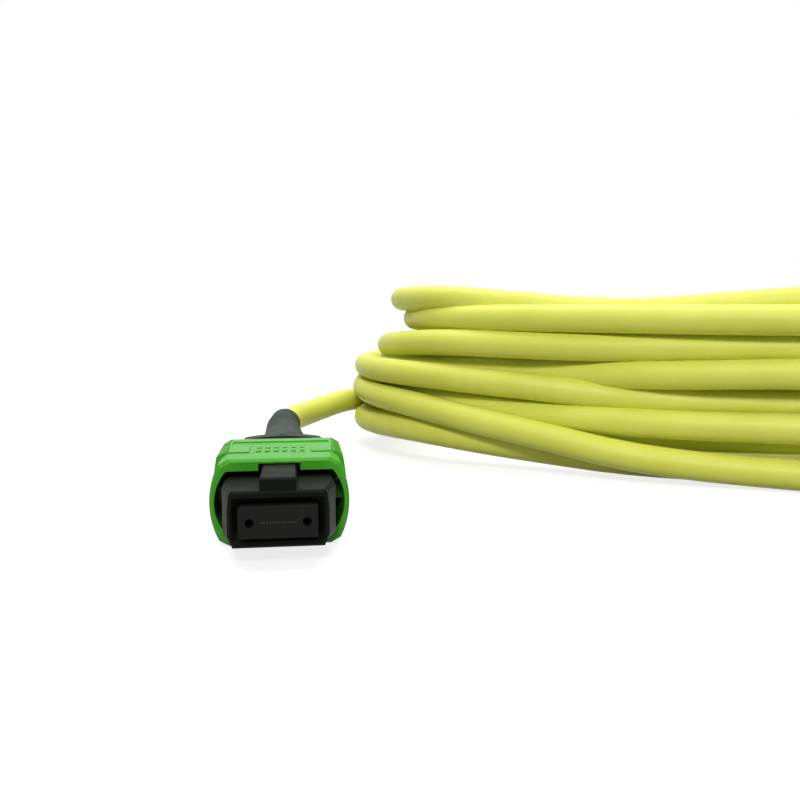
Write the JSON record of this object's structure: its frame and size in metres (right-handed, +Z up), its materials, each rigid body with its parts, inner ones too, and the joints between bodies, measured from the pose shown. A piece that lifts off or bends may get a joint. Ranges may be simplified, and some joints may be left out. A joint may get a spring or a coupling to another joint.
{
  "type": "mpo fibre connector on a patch cord",
  "caption": "Push-pull multi-fibre plug with a sprung ferrule and coupling sleeve on a coiled round patch cord, with the same plug on its far end.",
  "frame": {"origin": "under the middle of the near plug's box, on the surface that its sleeve rests on", "axes": "+Y from the ferrule's face back along the near plug to its cable, +X to the right seen from the face, +Z up through the key"},
  "size_m": [0.1283, 0.0888, 0.024],
  "materials": {
    "sleeve_green": "moulded, satin",
    "spring_steel": "drawn wire",
    "housing_black": "moulded, satin",
    "ferrule_black": "filled moulding, fine matt, polished face",
    "fibre_glass": "polished",
    "epoxy_amber": "cured, glossy",
    "seal_rubber": "matt",
    "keeper_metal": "stamped",
    "push_black": "moulded, satin",
    "ribbon_clear": "coated",
    "aramid_yellow": "braided back over the stub",
    "crimp_metal": "drawn, crimped",
    "boot_grey": "moulded, matt",
    "jacket_lime": "extruded jacket, satin"
  },
  "bodies": {
    "plug_body": {"coupling_spring_left": "spring_steel", "coupling_spring_right": "spring_steel", "inner_housing": "housing_black", "ferrule_spring": "spring_steel", "spring_push": "push_black", "aramid_yarn": "aramid_yellow", "crimp_ring": "crimp_metal", "strain_relief_boot": "boot_grey", "cable_lead": "jacket_lime", "cable_coil": "jacket_lime", "far_coupling_spring_left": "spring_steel", "far_coupling_spring_right": "spring_steel", "far_inner_housing": "housing_black", "far_ferrule_spring": "spring_steel", "far_spring_push": "push_black", "far_aramid_yarn": "aramid_yellow", "far_crimp_ring": "crimp_metal", "far_strain_relief_boot": "boot_grey", "far_cable_tail": "jacket_lime"},
    "coupling_sleeve_body": {"coupling_sleeve": "sleeve_green"},
    "ferrule_body": {"mt_ferrule": "ferrule_black", "fibre_ends": "fibre_glass", "window_epoxy": "epoxy_amber", "ferrule_boot": "seal_rubber", "pin_keeper": "keeper_metal", "fibre_ribbon": "ribbon_clear"},
    "far_coupling_sleeve_body": {"far_coupling_sleeve": "sleeve_green"},
    "far_ferrule_body": {"far_mt_ferrule": "ferrule_black", "far_fibre_ends": "fibre_glass", "far_window_epoxy": "epoxy_amber", "far_ferrule_boot": "seal_rubber", "far_pin_keeper": "keeper_metal", "far_fibre_ribbon": "ribbon_clear"}
  },
  "joints": [
    {"name": "sleeve_pull", "type": "slide", "parent": "plug_body", "child": "coupling_sleeve_body", "axis": [0, 1, 0], "range_m": [0, 0.0022], "stiffness_N_per_m": 1500, "springref_m": -0.002, "deforming": ["coupling_spring_left", "coupling_spring_right"]},
    {"name": "ferrule_push", "type": "slide", "parent": "plug_body", "child": "ferrule_body", "axis": [0, 1, 0], "range_m": [0, 0.001], "stiffness_N_per_m": 2000, "springref_m": -0.0045, "deforming": ["ferrule_spring"]},
    {"name": "far_sleeve_pull", "type": "slide", "parent": "plug_body", "child": "far_coupling_sleeve_body", "axis": [-0.8746, 0.4848, 0], "range_m": [0, 0.0022], "stiffness_N_per_m": 1500, "springref_m": -0.002, "deforming": ["far_coupling_spring_left", "far_coupling_spring_right"]},
    {"name": "far_ferrule_push", "type": "slide", "parent": "plug_body", "child": "far_ferrule_body", "axis": [-0.8746, 0.4848, 0], "range_m": [0, 0.001], "stiffness_N_per_m": 2000, "springref_m": -0.0045, "deforming": ["far_ferrule_spring"]}
  ]
}
